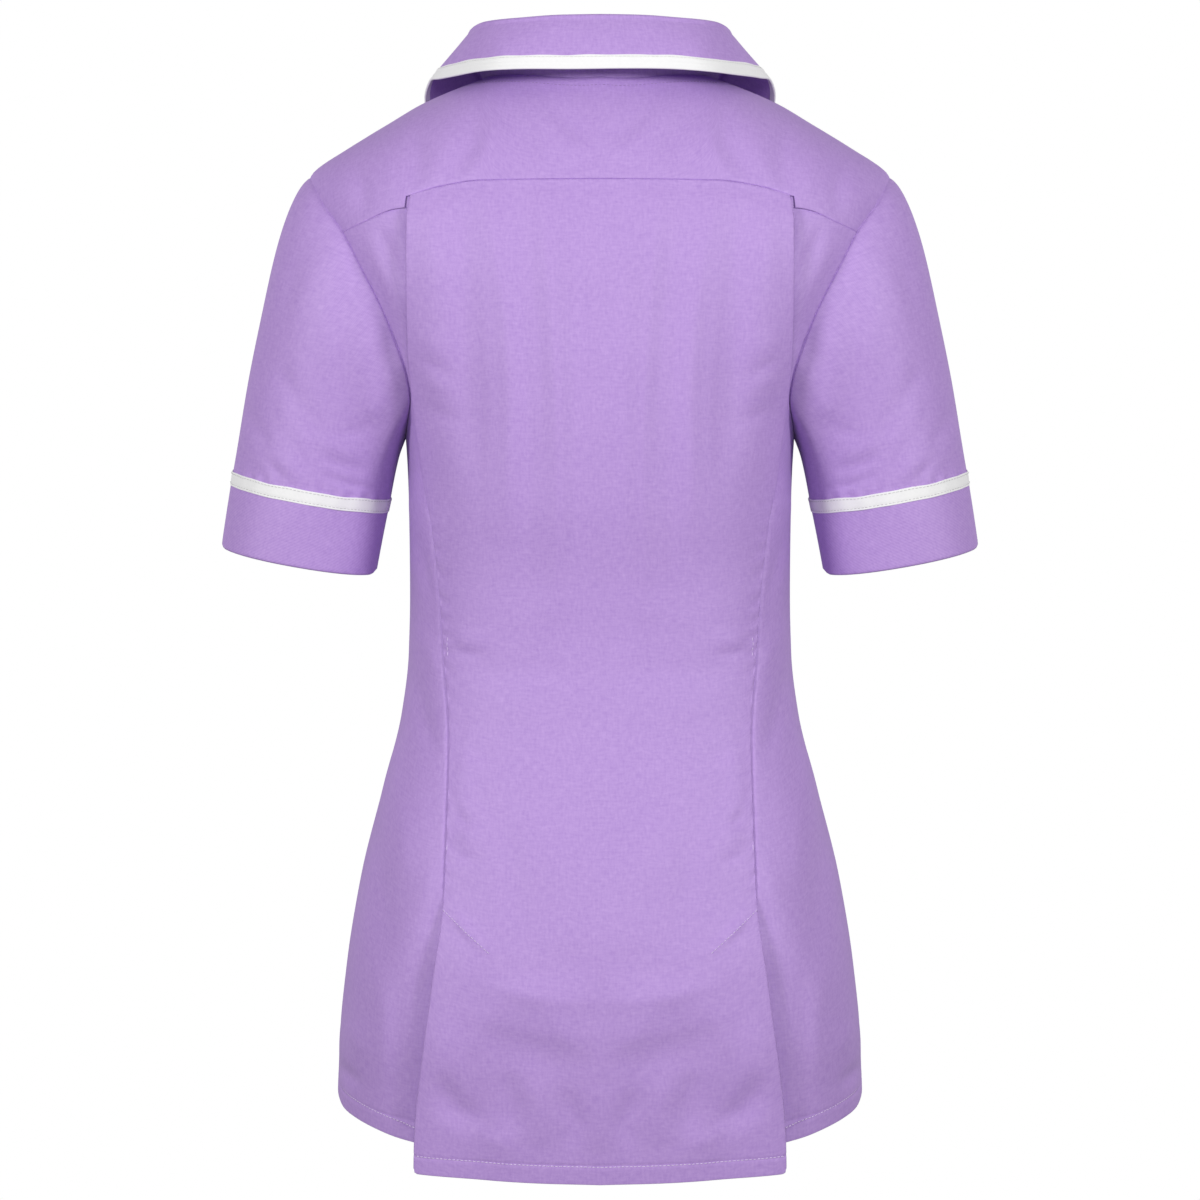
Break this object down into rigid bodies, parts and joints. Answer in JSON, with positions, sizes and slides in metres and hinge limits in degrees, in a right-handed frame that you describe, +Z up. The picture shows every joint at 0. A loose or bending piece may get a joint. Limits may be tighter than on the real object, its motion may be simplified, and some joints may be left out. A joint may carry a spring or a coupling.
{
  "type": "medical tunic",
  "caption": "Short-sleeved fitted tunic, hollow as worn, with a collar, back pleats, white tape at collar and sleeves, and a buttoned front.",
  "frame": {"origin": "midway between the two side neck points, on the shoulder line, where the wearer's shoulders carry the tunic", "axes": "+Z up along the wearer's spine, +Y the way the wearer faces, +X the wearer's right"},
  "size_m": [0.5158, 0.2459, 0.773],
  "materials": {
    "lilac_cloth": "lilac poly-cotton twill, matt with a slight sheen",
    "white_trim": "white woven tape",
    "lilac_button": "lilac plastic, satin"
  },
  "bodies": {
    "root": {"back_yoke": "lilac_cloth", "back_centre": "lilac_cloth", "back_side_left": "lilac_cloth", "back_side_right": "lilac_cloth", "front_left": "lilac_cloth", "front_right": "lilac_cloth", "button_band": "lilac_cloth", "sleeve_left": "lilac_cloth", "sleeve_right": "lilac_cloth", "cuff_left": "lilac_cloth", "cuff_right": "lilac_cloth", "collar_stand": "lilac_cloth", "collar_leaf": "lilac_cloth", "sleeve_tape_left": "white_trim", "sleeve_tape_right": "white_trim", "collar_binding": "white_trim", "button_1": "lilac_button", "button_2": "lilac_button", "button_3": "lilac_button", "button_4": "lilac_button", "button_5": "lilac_button", "button_6": "lilac_button"}
  },
  "joints": []
}
